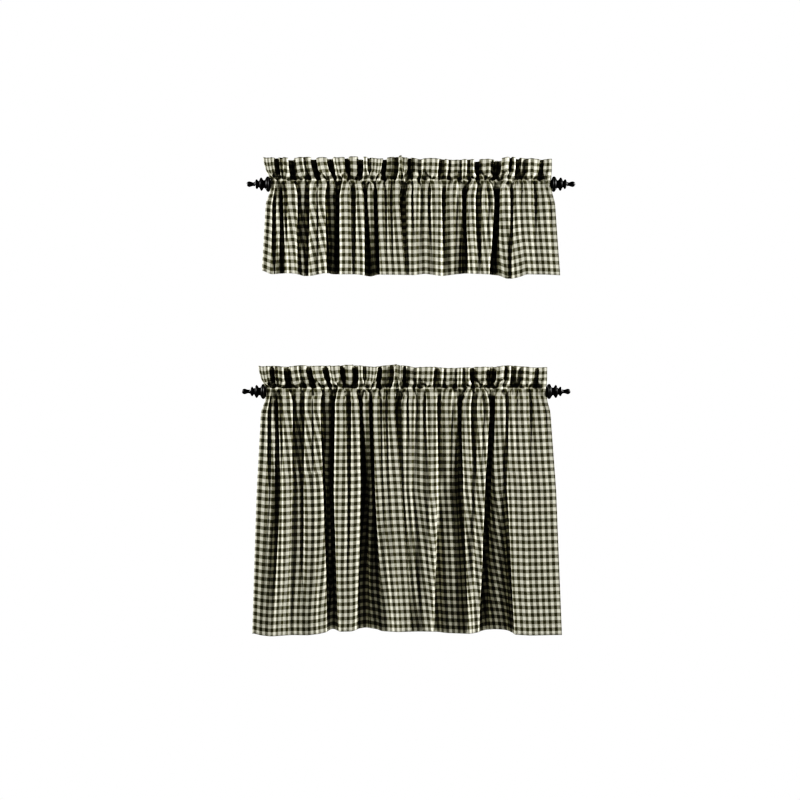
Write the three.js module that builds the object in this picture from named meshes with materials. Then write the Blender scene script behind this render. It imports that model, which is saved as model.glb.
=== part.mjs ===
// A cafe curtain set: two gingham tier panels on a lower rod and two short valance panels on an upper rod.
// Millimetres. X is to the right, Y is to the back, Z is up. The origin is the middle of the tier rod's axis.
import * as THREE from "three";

// Rods and their finials
const ROD_RADIUS = 8;
const ROD_SIDES = 16;
const ROD_HALF = 476;
const VALANCE_RISE = 704;
const VALANCE_SHIFT = 16;
const FINIAL_GAP = 0.3;
const FINIAL_SIDES = 14;

// Cloth
const SHEET = 1.6;
const HEADER_SHEET = 3;
const TIER_DROP = 824;
const VALANCE_DROP = 306;

// Rod pocket, measured from the rod's axis
const UPPER_SEAM = 12;
const LOWER_SEAM = -29;
const PUCKER_DEPTH = 3.5;
const PUCKER_PITCH = 66;
const SEAM_WAVE = 2.2;
const POCKET_ROWS = [
  { rise: 8.4, half: 6.2 },
  { rise: 0, half: 9.2 },
  { rise: -14, half: 5.8 },
];

// Heights of the fold tables and of the rows of the sheet below the rod's axis
const TOP_LEVEL = -73;
const MID_LEVEL = -335;
const HEM_LEVEL = -760;
const TIER_ROWS = [-56, -100, -190, -335, -560, -TIER_DROP];
const VALANCE_ROWS = [-56, -100, -190, -VALANCE_DROP];
const HEADER_ROWS = [1, 0.5];
const HEADER_SEAM_DEPTH = 0.22;
const HEADER_LEAN = 8;

// Folds start at the pocket: their depth and their place grow over a height below it
const DEPTH_AT_ROD = 0.16;
const DEPTH_START = 4;
const DEPTH_REACH = 66;
const DRAW_START = 17;
const DRAW_REACH = 62;
const BACK_SET = 2;

// Edges are drawn out later: clear below the finials, and behind the other panel where one edge is tucked
const EDGE_WIDTH = 80;
const EDGE_LAG = 30;
const FLAP_WIDTH = 110;
const FLAP_LAG = 50;

// Rounding of the folds along the cloth, and the spacing of the columns of the sheet
const ROUND_TOP = 7;
const ROUND_HEM = 13;
const GATHER_SPREAD = 45;
const COLUMN_PITCH = 17.5;
const SAMPLE_PITCH = 1.5;
const NECK = 9;
const DEPTH_RANGE = [0.3, 1.12];
const DEPTH_STEPS = 18;
const STEEPEST = 0.7;
const SIGHT = 3200;
const EYE_LEVEL = -29;

// A fold is a pleat from one X to another at a depth behind the foremost cloth, then a valley at its depth.
// X is where it shows in the plane of the rod from SIGHT away, so deeper cloth lies further out.
const fold = (from, to, front, valley) => ({ from, to, front, valley });
const LEFT_FOLDS = {
  top: [
    fold(-490, -468, 4, 24),
    fold(-455, -441, 8, 26),
    fold(-430, -382, 2, 19),
    fold(-375, -352, 7, 17),
    fold(-342, -289, 0, 16),
    fold(-287, -254, 8, 60),
    fold(-239, -158, 0, 56),
    fold(-149, -124, 6, 40),
    fold(-112, -38, 2, 2),
  ],
  mid: [
    fold(-504, -466, 5, 11),
    fold(-456, -442, 7, 24),
    fold(-426, -385, 2, 13),
    fold(-380, -354, 10, 20),
    fold(-346, -279, 0, 50),
    fold(-272, -258, 24, 66),
    fold(-245, -153, 0, 68),
    fold(-128, -116, 22, 44),
    fold(-104, -22, 2, 2),
  ],
  hem: [
    fold(-516, -486, 20, 22),
    fold(-476, -452, 20, 20),
    fold(-440, -395, 6, 13),
    fold(-390, -352, 13, 15),
    fold(-343, -264, 3, 70),
    fold(-256, -242, 66, 70),
    fold(-232, -163, 0, 66),
    fold(-126, -98, 34, 30),
    fold(-80, 10, 4, 0),
  ],
};
const RIGHT_FOLDS = {
  top: [
    fold(-64, -32, 40, 42),
    fold(-16, 58, 0, 12),
    fold(68, 105, 0, 20),
    fold(116, 178, 2, 36),
    fold(188, 219, 0, 18),
    fold(238, 281, 3, 60),
    fold(299, 338, 1, 14),
    fold(346, 369, 0, 6),
    fold(377, 487, 1, 1),
  ],
  mid: [
    fold(-50, -36, 42, 44),
    fold(-28, 74, 4, 8),
    fold(84, 107, 0, 16),
    fold(118, 173, 13, 36),
    fold(192, 219, 0, 7),
    fold(238, 266, 0, 66),
    fold(285, 331, 8, 15),
    fold(342, 366, 0, 4),
    fold(374, 506, 1, 1),
  ],
  hem: [
    fold(-26, -4, 40, 42),
    fold(8, 62, 7, 8),
    fold(71, 98, 4, 40),
    fold(116, 190, 22, 34),
    fold(208, 217, 14, 12),
    fold(224, 249, 0, 66),
    fold(274, 346, 18, 46),
    fold(360, 384, 0, 4),
    fold(392, 522, 1, 1),
  ],
};

// Width of cloth in these folds at each height; the rest of the 914 mm cut is in finer creases
const LEFT_TAKEN = { top: 802, mid: 860, hem: 862 };
const RIGHT_TAKEN = { top: 890, mid: 882, hem: 880 };

// The hem line as it shows: low under the pleats and arched over the valleys, where the cloth is further back
const hem = (x, z) => ({ x, z });
const TIER_HEM = [
  hem(-517, -822), hem(-494, -828), hem(-460, -832), hem(-388, -827), hem(-334, -828), hem(-300, -824),
  hem(-273, -818), hem(-249, -804), hem(-225, -816), hem(-184, -815), hem(-160, -805), hem(-137, -801),
  hem(-99, -807), hem(-82, -814), hem(-28, -817), hem(40, -815), hem(108, -816), hem(135, -820),
  hem(213, -823), hem(237, -820), hem(268, -809), hem(302, -807), hem(336, -809), hem(353, -814),
  hem(370, -826), hem(421, -829), hem(523, -827),
];
const VALANCE_HEM = [
  hem(-503, -293), hem(-476, -306), hem(-421, -302), hem(-390, -304), hem(-363, -312), hem(-336, -311),
  hem(-296, -302), hem(-282, -302), hem(-265, -306), hem(-187, -306), hem(-160, -309), hem(-137, -314),
  hem(-112, -307), hem(-17, -308), hem(10, -309), hem(48, -304), hem(106, -312), hem(153, -306),
  hem(184, -303), hem(262, -306), hem(303, -311), hem(323, -321), hem(344, -321), hem(371, -315),
  hem(391, -306), hem(456, -307), hem(504, -309),
];

// A ruffle of the header is a valley that leans from its place at the seam to its place at the top edge.
const ruffle = (seam, top, width, depth) => ({ seam, top, width, depth });
const LEFT_RUFFLES = [
  ruffle(-452, -455, 11, 18),
  ruffle(-405, -404, 19, 24),
  ruffle(-300, -338, 18, 22),
  ruffle(-246, -268, 17, 24),
  ruffle(-207, -217, 15, 23),
  ruffle(-172, -168, 20, 30),
  ruffle(-144, -143, 12, 18),
  ruffle(-108, -86, 15, 28),
];
const RIGHT_RUFFLES = [
  ruffle(-10, -6, 11, 22),
  ruffle(108, 122, 10, 25),
  ruffle(184, 181, 15, 25),
  ruffle(231, 228, 17, 27),
  ruffle(283, 286, 20, 29),
  ruffle(323, 331, 10, 22),
  ruffle(362, 358, 14, 21),
  ruffle(431, 430, 10, 15),
];

// Height of the header's top edge above the rod's axis
const crest = (x, rise) => ({ x, rise });
const LEFT_CRESTS = [crest(-504, 87), crest(-395, 83), crest(-361, 88), crest(-225, 87), crest(-181, 92),
  crest(-137, 83), crest(-106, 82), crest(-35, 92)];
const RIGHT_CRESTS = [crest(-35, 91), crest(-4, 87), crest(30, 77), crest(81, 82), crest(132, 74),
  crest(166, 74), crest(217, 80), crest(285, 83), crest(353, 88), crest(387, 83), crest(438, 77),
  crest(476, 78)];

// Side edges of each panel at the pocket and at the header's top
const LEFT_SIDES = { pocket: [-475, -37.2], header: [-498, -36] };
const RIGHT_SIDES = { pocket: [-34.8, 475], header: [-33, 476] };

const LEFT = {
  folds: LEFT_FOLDS, taken: LEFT_TAKEN, ruffles: LEFT_RUFFLES, crests: LEFT_CRESTS, sides: LEFT_SIDES,
  lateLeft: { lag: EDGE_LAG, width: EDGE_WIDTH }, lateRight: { lag: 0, width: EDGE_WIDTH },
};
const RIGHT = {
  folds: RIGHT_FOLDS, taken: RIGHT_TAKEN, ruffles: RIGHT_RUFFLES, crests: RIGHT_CRESTS, sides: RIGHT_SIDES,
  lateLeft: { lag: FLAP_LAG, width: FLAP_WIDTH }, lateRight: { lag: EDGE_LAG, width: EDGE_WIDTH },
};

// Profile of a finial from the rod's end outwards
const turn = (out, radius) => ({ out, radius });
const FINIAL_PROFILE = [
  turn(0, 0), turn(0, 11), turn(3, 21), turn(7, 25.8), turn(12, 25), turn(16, 19.5),
  turn(19, 14), turn(22, 12.2), turn(25, 13.5), turn(29.5, 21.5), turn(33.5, 22), turn(39.8, 9.8),
  turn(42, 10.2), turn(46, 16.8), turn(49, 16), turn(54, 7), turn(61, 6), turn(68, 8.6),
  turn(74, 9.5), turn(79, 7), turn(82, 0),
];

const CLOTH_LOOK = { color: 0x7c7a68, roughness: 0.92, metalness: 0 };
const METAL_LOOK = { color: 0x121212, roughness: 0.42, metalness: 0.55 };

const mix = (a, b, t) => a + (b - a) * t;
const ease = (t) => t * t * (3 - 2 * t);
const clamp = (t) => Math.min(1, Math.max(0, t));

// Value on a chain of points, found by its first column
function along(points, at, key, value) {
  let k = 1;
  while (k < points.length - 1 && points[k][key] < at) {
    k += 1;
  }
  const t = (at - points[k - 1][key]) / (points[k][key] - points[k - 1][key]);
  return mix(points[k - 1][value], points[k][value], t);
}

// Folds at a height, between the tables, and the width of cloth in them
function foldsAt(cut, z) {
  const low = z < MID_LEVEL;
  const [above, below] = low ? ["mid", "hem"] : ["top", "mid"];
  const t = low ? (MID_LEVEL - z) / (MID_LEVEL - HEM_LEVEL) : (TOP_LEVEL - z) / (TOP_LEVEL - MID_LEVEL);
  const held = Math.max(0, t);
  const folds = cut.folds[above].map((row, k) => {
    const next = cut.folds[below][k];
    return fold(
      mix(row.from, next.from, held),
      mix(row.to, next.to, held),
      mix(row.front, next.front, held),
      mix(row.valley, next.valley, held),
    );
  });
  return { folds, width: mix(cut.taken[above], cut.taken[below], held) };
}

// Corners of the folded section, with valleys kept open at the neck
function corners(folds, scale) {
  const points = [];
  folds.forEach((row, k) => {
    points.push({ x: row.from, y: row.front * scale });
    points.push({ x: row.to, y: row.front * scale });
    const next = folds[k + 1];
    if (next) {
      const under = Math.max(0, (NECK - (next.from - row.to)) / 2);
      points.push({ x: row.to - under, y: row.valley * scale });
      points.push({ x: next.from + under, y: row.valley * scale });
    }
  });
  points.forEach((p) => {
    p.x *= 1 + p.y / SIGHT;
  });
  let run = 0;
  points.forEach((p, k) => {
    const q = points[Math.max(0, k - 1)];
    run += Math.hypot(p.x - q.x, p.y - q.y);
    p.s = run;
  });
  return points;
}

// The section with its corners rounded, as evenly spaced samples
function rounded(points, radius) {
  const length = points[points.length - 1].s;
  const count = Math.round(length / SAMPLE_PITCH);
  const reach = Math.max(1, Math.round((radius * count) / length));
  const raw = [];
  for (let i = 0; i <= count; i += 1) {
    const s = (length * i) / count;
    raw.push({ x: along(points, s, "s", "x"), y: along(points, s, "s", "y") });
  }
  return raw.map((p, i) => {
    const near = Math.min(reach, i, count - i);
    let x = 0;
    let y = 0;
    let total = 0;
    for (let d = -near; d <= near; d += 1) {
      const weight = near + 1 - Math.abs(d);
      x += raw[i + d].x * weight;
      y += raw[i + d].y * weight;
      total += weight;
    }
    return { x: x / total, y: y / total, s: (length * i) / count };
  });
}

function lengthOf(samples) {
  const pieces = samples.slice(1).map((p, i) => Math.hypot(p.x - samples[i].x, p.y - samples[i].y));
  return pieces.reduce((sum, piece) => sum + piece, 0);
}

// The folded section at a height, deep enough to take up the width of cloth in its folds
function sectionAt(cut, z) {
  const { folds, width } = foldsAt(cut, z);
  const radius = mix(ROUND_TOP, ROUND_HEM, clamp((TOP_LEVEL - z) / (TOP_LEVEL - HEM_LEVEL)));
  let [low, high] = DEPTH_RANGE;
  for (let i = 0; i < DEPTH_STEPS; i += 1) {
    const scale = (low + high) / 2;
    const long = lengthOf(rounded(corners(folds, scale), radius)) > width;
    high = long ? scale : high;
    low = long ? low : scale;
  }
  const points = corners(folds, high);
  const samples = rounded(points, radius);
  const mean = samples.reduce((sum, p) => sum + p.y, 0) / samples.length;
  samples.forEach((p) => {
    p.y -= mean;
  });
  return { points, samples };
}

// Places of the columns: each straight of the folded section has its own share of them
function shares(cut) {
  const lengths = Object.values(cut.folds).map((rows) => {
    const points = corners(rows, 1);
    return points.slice(1).map((p, k) => p.s - points[k].s);
  });
  return lengths[0].map((first, k) => {
    const mean = lengths.reduce((sum, row) => sum + row[k], 0) / lengths.length;
    return Math.max(1, Math.round(mean / COLUMN_PITCH));
  });
}

function columnsOf(section, share) {
  const columns = [];
  share.forEach((count, k) => {
    for (let i = 0; i < count; i += 1) {
      columns.push(mix(section.points[k].s, section.points[k + 1].s, i / count));
    }
  });
  columns.push(section.points[section.points.length - 1].s);
  return columns.map((s) => {
    const x = along(section.samples, s, "s", "x");
    const y = along(section.samples, s, "s", "y");
    return { s, x, y };
  });
}

// Outward normals of a section, in plan, towards the front
function withNormals(row) {
  return row.map((p, j) => {
    const a = row[Math.max(0, j - 1)];
    const b = row[Math.min(row.length - 1, j + 1)];
    const run = Math.hypot(b.x - a.x, b.y - a.y);
    return { ...p, nx: (b.y - a.y) / run, ny: -(b.x - a.x) / run };
  });
}

// Depth of the header's ruffles at a place along it, leaning from the seam to the top edge
function ruffleDepth(ruffles, x, up) {
  return ruffles.reduce((deepest, r) => {
    const off = Math.abs(x - mix(r.seam, r.top, up)) / r.width;
    return Math.max(deepest, off < 1 ? r.depth * (0.5 + 0.5 * Math.cos(Math.PI * off)) : 0);
  }, 0);
}

// One panel: header, rod pocket with its tunnel, and body down to the hem
function panel(cut, rows, hemLine, place) {
  const share = shares(cut);
  const top = sectionAt(cut, TOP_LEVEL);
  const topColumns = columnsOf(top, share);
  const spread = rounded(top.samples.map((p) => ({ ...p })), GATHER_SPREAD);
  const first = spread[0].x;
  const last = spread[spread.length - 1].x;
  const gathered = topColumns.map((p) => (along(spread, p.s, "s", "x") - first) / (last - first));
  const pucker = topColumns.map((p) => 0.5 - 0.5 * Math.cos((2 * Math.PI * p.s) / PUCKER_PITCH));
  const atPocket = gathered.map((g) => mix(cut.sides.pocket[0], cut.sides.pocket[1], g));
  const whole = topColumns[topColumns.length - 1].s;
  const lag = (edge, off) => edge.lag * ease(clamp(1 - off / edge.width));
  const late = topColumns.map((p) => lag(cut.lateLeft, p.s) + lag(cut.lateRight, whole - p.s));

  const stations = [];
  HEADER_ROWS.forEach((up) => {
    const row = gathered.map((g, j) => {
      const flare = mix(cut.sides.header[0], cut.sides.header[1], g);
      const x = mix(atPocket[j], flare, up);
      const depth = ruffleDepth(cut.ruffles, x, up) * mix(HEADER_SEAM_DEPTH, 1, up);
      const z = mix(UPPER_SEAM, along(cut.crests, flare, "x", "rise"), up);
      return { x, y: depth - HEADER_LEAN * mix(HEADER_SEAM_DEPTH, 1, up), z, half: HEADER_SHEET / 2 };
    });
    stations.push({ kind: "sheet", row: withNormals(row) });
  });
  const seam = atPocket.map((x, j) => ({
    x, y: SEAM_WAVE * (1 - 2 * pucker[j]), z: UPPER_SEAM, half: HEADER_SHEET / 2,
  }));
  stations.push({ kind: "seam", row: withNormals(seam) });
  POCKET_ROWS.forEach(({ rise, half }) => {
    const row = atPocket.map((x, j) => ({
      x, z: rise, hollow: half + (PUCKER_DEPTH * pucker[j] * half) / ROD_RADIUS, half: SHEET,
    }));
    stations.push({ kind: "pocket", row });
  });
  const hung = (z) => {
    const depth = Math.sqrt(mix(DEPTH_AT_ROD, 1, ease(clamp((DEPTH_START - z) / DEPTH_REACH))));
    return columnsOf(sectionAt(cut, z), share).map((p, j) => {
      const draw = ease(clamp((DRAW_START - late[j] - z) / DRAW_REACH));
      return { x: mix(atPocket[j], p.x, draw), y: depth * (p.y + BACK_SET) };
    });
  };
  let above = hung(LOWER_SEAM).map((p) => ({ ...p, z: LOWER_SEAM, half: HEADER_SHEET / 2 }));
  stations.push({ kind: "seam", row: withNormals(above) });
  let height = LOWER_SEAM;
  const body = rows.map((z) => {
    const drop = height - z;
    above = hung(z).map(({ x, y }, j) => {
      const fall = Math.sqrt(Math.max(drop * drop * STEEPEST, drop * drop - (y - above[j].y) ** 2));
      return { x, y, z: above[j].z - fall, half: SHEET / 2 };
    });
    height = z;
    return above;
  });
  const stretch = above.map(({ x, y, z }) => {
    const further = 1 + y / SIGHT;
    const eye = EYE_LEVEL - place.z;
    const low = eye + (along(hemLine, x / further, "x", "z") - eye) * further;
    return (LOWER_SEAM - low) / (LOWER_SEAM - z);
  });
  body.forEach((row) => {
    const hanging = row.map((p, j) => ({ ...p, z: LOWER_SEAM - (LOWER_SEAM - p.z) * stretch[j] }));
    stations.push({ kind: "sheet", row: withNormals(hanging) });
  });
  return loft(stations, place);
}

// Closed sheet around the stations, open through the pocket from side to side
function loft(stations, place) {
  const count = stations[0].row.length;
  const put = [];
  const vertex = (x, y, z) => {
    put.push(x + place.x, y, z + place.z);
    return put.length / 3 - 1;
  };
  const chain = (of, pick) => of.row.map((p) => vertex(...pick(p)));
  stations.forEach((station) => {
    if (station.kind === "pocket") {
      station.front = chain(station, (p) => [p.x, -p.hollow - p.half, p.z]);
      station.back = chain(station, (p) => [p.x, p.hollow + p.half, p.z]);
      station.hollowFront = chain(station, (p) => [p.x, -p.hollow, p.z]);
      station.hollowBack = chain(station, (p) => [p.x, p.hollow, p.z]);
    } else {
      station.front = chain(station, (p) => [p.x + p.nx * p.half, p.y + p.ny * p.half, p.z]);
      station.back = chain(station, (p) => [p.x - p.nx * p.half, p.y - p.ny * p.half, p.z]);
    }
    if (station.kind === "seam") {
      const middle = chain(station, (p) => [p.x, p.y, p.z]);
      station.hollowFront = middle;
      station.hollowBack = middle;
    }
  });
  const faces = [];
  const quad = (a, b, c, d) => faces.push(a, b, c, a, c, d);
  const skin = (upper, lower) => {
    for (let j = 0; j + 1 < count; j += 1) {
      quad(upper[j], lower[j], lower[j + 1], upper[j + 1]);
    }
  };
  const last = stations[stations.length - 1];
  skin(stations[0].back, stations[0].front);
  skin(last.front, last.back);
  stations.slice(1).forEach((low, k) => {
    const high = stations[k];
    skin(high.front, low.front);
    skin(low.back, high.back);
    const open = high.kind === "pocket" || low.kind === "pocket";
    if (open) {
      skin(low.hollowFront, high.hollowFront);
      skin(high.hollowBack, low.hollowBack);
    }
    [0, count - 1].forEach((j) => {
      const upper = high.hollowFront?.[j];
      const lower = low.hollowFront?.[j];
      const ends = open
        ? [[high.front[j], upper, lower, low.front[j]],
          [high.hollowBack[j], high.back[j], low.back[j], low.hollowBack[j]]]
        : [[high.front[j], upper, high.back[j], low.back[j], lower, low.front[j]]];
      ends.forEach((end) => {
        const edge = end.filter((v) => v !== undefined);
        const hub = Math.max(0, edge.findIndex((v) => v === upper || v === lower));
        const fan = edge.slice(hub).concat(edge.slice(0, hub));
        for (let i = 1; i + 1 < fan.length; i += 1) {
          const tri = [fan[0], fan[i], fan[i + 1]];
          faces.push(...(j ? tri.reverse() : tri));
        }
      });
    });
  });
  const geometry = new THREE.BufferGeometry();
  geometry.setAttribute("position", new THREE.Float32BufferAttribute(put, 3));
  geometry.setIndex(faces);
  geometry.computeVertexNormals();
  return geometry;
}

// Solid rod between its finials
function rod(place) {
  const geometry = new THREE.CylinderGeometry(ROD_RADIUS, ROD_RADIUS, ROD_HALF * 2, ROD_SIDES);
  geometry.rotateZ(Math.PI / 2);
  geometry.translate(place.x, 0, place.z);
  return geometry;
}

// Turned finial on one end of a rod
function finial(place, side) {
  const profile = FINIAL_PROFILE.map((t) => new THREE.Vector2(t.radius, t.out));
  const geometry = new THREE.LatheGeometry(profile, FINIAL_SIDES);
  geometry.rotateZ((-side * Math.PI) / 2);
  geometry.translate(place.x + side * (ROD_HALF + FINIAL_GAP), 0, place.z);
  return geometry;
}

const group = new THREE.Group();
group.name = "gingham_cafe_set";

function add(name, geometry, look) {
  const mesh = new THREE.Mesh(geometry, new THREE.MeshStandardMaterial(look));
  mesh.name = name;
  group.add(mesh);
}

const TIER = { x: 0, z: 0 };
const VALANCE = { x: VALANCE_SHIFT, z: VALANCE_RISE };
add("tier_left", panel(LEFT, TIER_ROWS, TIER_HEM, TIER), CLOTH_LOOK);
add("tier_right", panel(RIGHT, TIER_ROWS, TIER_HEM, TIER), CLOTH_LOOK);
add("valance_left", panel(LEFT, VALANCE_ROWS, VALANCE_HEM, VALANCE), CLOTH_LOOK);
add("valance_right", panel(RIGHT, VALANCE_ROWS, VALANCE_HEM, VALANCE), CLOTH_LOOK);
add("tier_rod", rod(TIER), METAL_LOOK);
add("valance_rod", rod(VALANCE), METAL_LOOK);
add("tier_finial_left", finial(TIER, -1), METAL_LOOK);
add("tier_finial_right", finial(TIER, 1), METAL_LOOK);
add("valance_finial_left", finial(VALANCE, -1), METAL_LOOK);
add("valance_finial_right", finial(VALANCE, 1), METAL_LOOK);

export default group;
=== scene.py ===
import math

import bpy
import numpy as np
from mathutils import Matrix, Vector


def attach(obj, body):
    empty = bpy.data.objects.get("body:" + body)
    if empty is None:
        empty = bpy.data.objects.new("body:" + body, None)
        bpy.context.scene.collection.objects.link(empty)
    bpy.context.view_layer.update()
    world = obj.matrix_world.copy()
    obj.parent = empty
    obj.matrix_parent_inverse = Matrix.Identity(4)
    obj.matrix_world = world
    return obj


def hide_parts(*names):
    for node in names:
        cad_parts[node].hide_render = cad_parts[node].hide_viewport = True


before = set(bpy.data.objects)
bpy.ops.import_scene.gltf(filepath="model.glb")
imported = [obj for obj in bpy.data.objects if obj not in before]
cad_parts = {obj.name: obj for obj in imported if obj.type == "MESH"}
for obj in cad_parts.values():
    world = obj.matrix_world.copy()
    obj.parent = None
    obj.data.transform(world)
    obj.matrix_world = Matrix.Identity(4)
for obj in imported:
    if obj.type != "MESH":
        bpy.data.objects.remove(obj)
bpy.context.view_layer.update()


# Rods. Two plain round steel tubes, one through the tier pockets and one through the valance pockets.
# Cut square, deburred at the ends and finished in satin black enamel; each lies in a bracket near either end.
ROD_RADIUS = 0.008
ROD_HALF = 0.476
VALANCE_PLACE = (0.016, 0.704)
TIER_PLACE = (0.0, 0.0)


class Finish:
    """A value in a material. Arithmetic on it adds Math nodes, and add() makes any other node."""

    def __init__(self, tree, socket=None):
        self.tree = tree
        self.socket = socket

    def add(self, kind, settings=None, inputs=None, output=0):
        node = self.tree.nodes.new(kind)
        for name, value in (settings or {}).items():
            if name == "stops":
                ramp = node.color_ramp.elements
                for k, (at, colour) in enumerate(value):
                    stop = ramp[k] if k < len(ramp) else ramp.new(at)
                    stop.position = at
                    stop.color = (*colour, 1.0)
            else:
                setattr(node, name, value)
        for name, value in (inputs or {}).items():
            if isinstance(value, Finish):
                self.tree.links.new(value.socket, node.inputs[name])
            elif value is not None:
                node.inputs[name].default_value = value
        return Finish(self.tree, node.outputs[output])

    def math(self, operation, first, second=None):
        return self.add("ShaderNodeMath", {"operation": operation}, {0: first, 1: second})

    def __add__(self, other):
        return self.math("ADD", self, other)

    def __sub__(self, other):
        return self.math("SUBTRACT", self, other)

    def __rsub__(self, other):
        return self.math("SUBTRACT", other, self)

    def __mul__(self, other):
        return self.math("MULTIPLY", self, other)

    def __truediv__(self, other):
        return self.math("DIVIDE", self, other)

    def __pow__(self, other):
        return self.math("POWER", self, other)

    __radd__ = __add__
    __rmul__ = __mul__


def new_material(name):
    material = bpy.data.materials.new(name)
    material.use_nodes = True
    shader = material.node_tree.nodes["Principled BSDF"]
    return material, Finish(material.node_tree), shader


def feed(finish, shader, socket):
    finish.tree.links.new(finish.socket, shader.inputs[socket])


def satin_black_enamel():
    material, start, shader = new_material("satin_black_enamel")
    place = start.add("ShaderNodeTexCoord", output=3)
    cloudy = start.add("ShaderNodeTexNoise", None, {"Vector": place, "Scale": 60.0, "Detail": 4.0})
    grain = start.add("ShaderNodeTexNoise", None, {"Vector": place, "Scale": 900.0, "Detail": 2.0})
    colour = start.add("ShaderNodeMix", {"data_type": "RGBA"}, {
        0: cloudy, 6: (0.0055, 0.0055, 0.0055, 1.0), 7: (0.011, 0.0105, 0.010, 1.0)}, output=2)
    feed(colour, shader, "Base Color")
    feed(0.33 + cloudy * 0.14 + grain * 0.08, shader, "Roughness")
    bump = start.add("ShaderNodeBump", None, {"Height": grain, "Strength": 0.12, "Distance": 0.0003})
    feed(bump, shader, "Normal")
    shader.inputs["Metallic"].default_value = 0.0
    shader.inputs["Specular IOR Level"].default_value = 0.32
    return material


ENAMEL = satin_black_enamel()


def finish_piece(piece, name, material):
    piece.name = name
    piece.data.name = name
    piece.data.materials.clear()
    piece.data.materials.append(material)
    bpy.ops.object.select_all(action="DESELECT")
    piece.select_set(True)
    bpy.context.view_layer.objects.active = piece
    bpy.ops.object.transform_apply(location=True, rotation=True, scale=True)
    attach(piece, "root")
    return piece


def make_rod(name, place, node):
    bpy.ops.object.select_all(action="DESELECT")
    bpy.ops.mesh.primitive_cylinder_add(
        vertices=48, radius=ROD_RADIUS, depth=2 * ROD_HALF,
        location=(place[0], 0.0, place[1]), rotation=(0.0, math.pi / 2, 0.0))
    rod = bpy.context.active_object
    bpy.ops.object.mode_set(mode="EDIT")
    bpy.ops.mesh.select_mode(type="FACE")
    bpy.ops.mesh.select_all(action="DESELECT")
    bpy.ops.object.mode_set(mode="OBJECT")
    for face in rod.data.polygons:
        face.select = abs(face.normal.z) > 0.9
    bpy.ops.object.mode_set(mode="EDIT")
    bpy.ops.mesh.inset(thickness=0.0012)
    bpy.ops.object.mode_set(mode="OBJECT")
    rim = rod.modifiers.new("rim", "BEVEL")
    rim.width = 0.0008
    rim.segments = 3
    rim.limit_method = "ANGLE"
    bpy.ops.object.modifier_apply(modifier=rim.name)
    bpy.ops.object.shade_smooth_by_angle(angle=math.radians(35))
    finish_piece(rod, name, ENAMEL)
    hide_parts(node)
    return rod


tier_rod = make_rod("tier_rod_tube", TIER_PLACE, "tier_rod")
valance_rod = make_rod("valance_rod_tube", VALANCE_PLACE, "valance_rod")


# Finials. Turned ends of three shrinking discs and a small knob, one screwed to each end of each rod.
# Turned from one bar on a lathe, so every disc has a rolled edge, and enamelled black with the rods.
FINIAL_TURNS = (
    # out from the rod's end, radius, in millimetres
    (0.0, 11.0), (1.2, 15.0), (3.0, 21.5), (5.5, 25.2), (9.0, 26.0), (12.5, 25.0), (15.5, 20.5),
    (18.5, 14.5), (21.5, 12.2), (24.5, 13.0), (27.0, 17.0), (29.5, 21.5), (32.0, 22.6), (34.5, 21.0),
    (37.2, 14.5), (39.8, 9.8), (42.0, 10.2), (44.5, 15.0), (47.0, 17.2), (49.5, 15.4), (52.0, 9.6),
    (54.5, 6.8), (58.0, 5.9), (62.0, 6.0), (66.0, 7.8), (70.0, 9.2), (74.0, 9.5), (78.0, 8.0),
    (80.8, 4.9), (82.0, 1.2),
)


def make_finial(name, place, side, node):
    out, radius = FINIAL_TURNS[0]
    start = place[0] + side * (ROD_HALF + 0.0003)
    bpy.ops.object.select_all(action="DESELECT")
    bpy.ops.mesh.primitive_circle_add(
        vertices=56, radius=radius / 1000, fill_type="NGON",
        location=(start, 0.0, place[1]), rotation=(0.0, side * math.pi / 2, 0.0))
    finial = bpy.context.active_object
    bpy.ops.object.transform_apply(location=True, rotation=True, scale=True)
    bpy.ops.object.mode_set(mode="EDIT")
    bpy.ops.mesh.select_mode(type="FACE")
    bpy.ops.mesh.select_all(action="SELECT")
    for next_out, next_radius in FINIAL_TURNS[1:]:
        bpy.ops.mesh.extrude_region_move(
            TRANSFORM_OT_translate={"value": (side * (next_out - out) / 1000, 0.0, 0.0)})
        grow = next_radius / radius
        bpy.ops.transform.resize(value=(1.0, grow, grow), center_override=(
            start + side * next_out / 1000, 0.0, place[1]))
        out, radius = next_out, next_radius
    bpy.ops.mesh.select_all(action="SELECT")
    bpy.ops.mesh.normals_make_consistent(inside=False)
    bpy.ops.object.mode_set(mode="OBJECT")
    rolled = finial.modifiers.new("rolled", "SUBSURF")
    rolled.levels = 1
    rolled.render_levels = 1
    bpy.ops.object.modifier_apply(modifier=rolled.name)
    bpy.ops.object.shade_smooth_by_angle(angle=math.radians(60))
    finish_piece(finial, name, ENAMEL)
    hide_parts(node)
    return finial


make_finial("tier_finial_left_turned", TIER_PLACE, -1, "tier_finial_left")
make_finial("tier_finial_right_turned", TIER_PLACE, 1, "tier_finial_right")
make_finial("valance_finial_left_turned", VALANCE_PLACE, -1, "valance_finial_left")
make_finial("valance_finial_right_turned", VALANCE_PLACE, 1, "valance_finial_right")


# Left tier panel. A width of woven gingham, its top turned over and stitched twice into a header and
# a rod pocket. Gathered on the rod to half its width, it falls in uneven folds, and its sides and bottom
# are hemmed with the same cloth.

# The cut and the sewing, in millimetres. Heights are from the rod's axis.
CLOTH_WIDTH = 914.0
TIER_DROP = 824.0
HEADER_HEIGHT = 80.0
UPPER_SEAM = 12.0
LOWER_SEAM = -29.0
SIDE_HEM = 12.0
BOTTOM_HEM = 38.0
TURN_UNDER = 6.0
LAYER_GAP = 0.9
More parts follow.
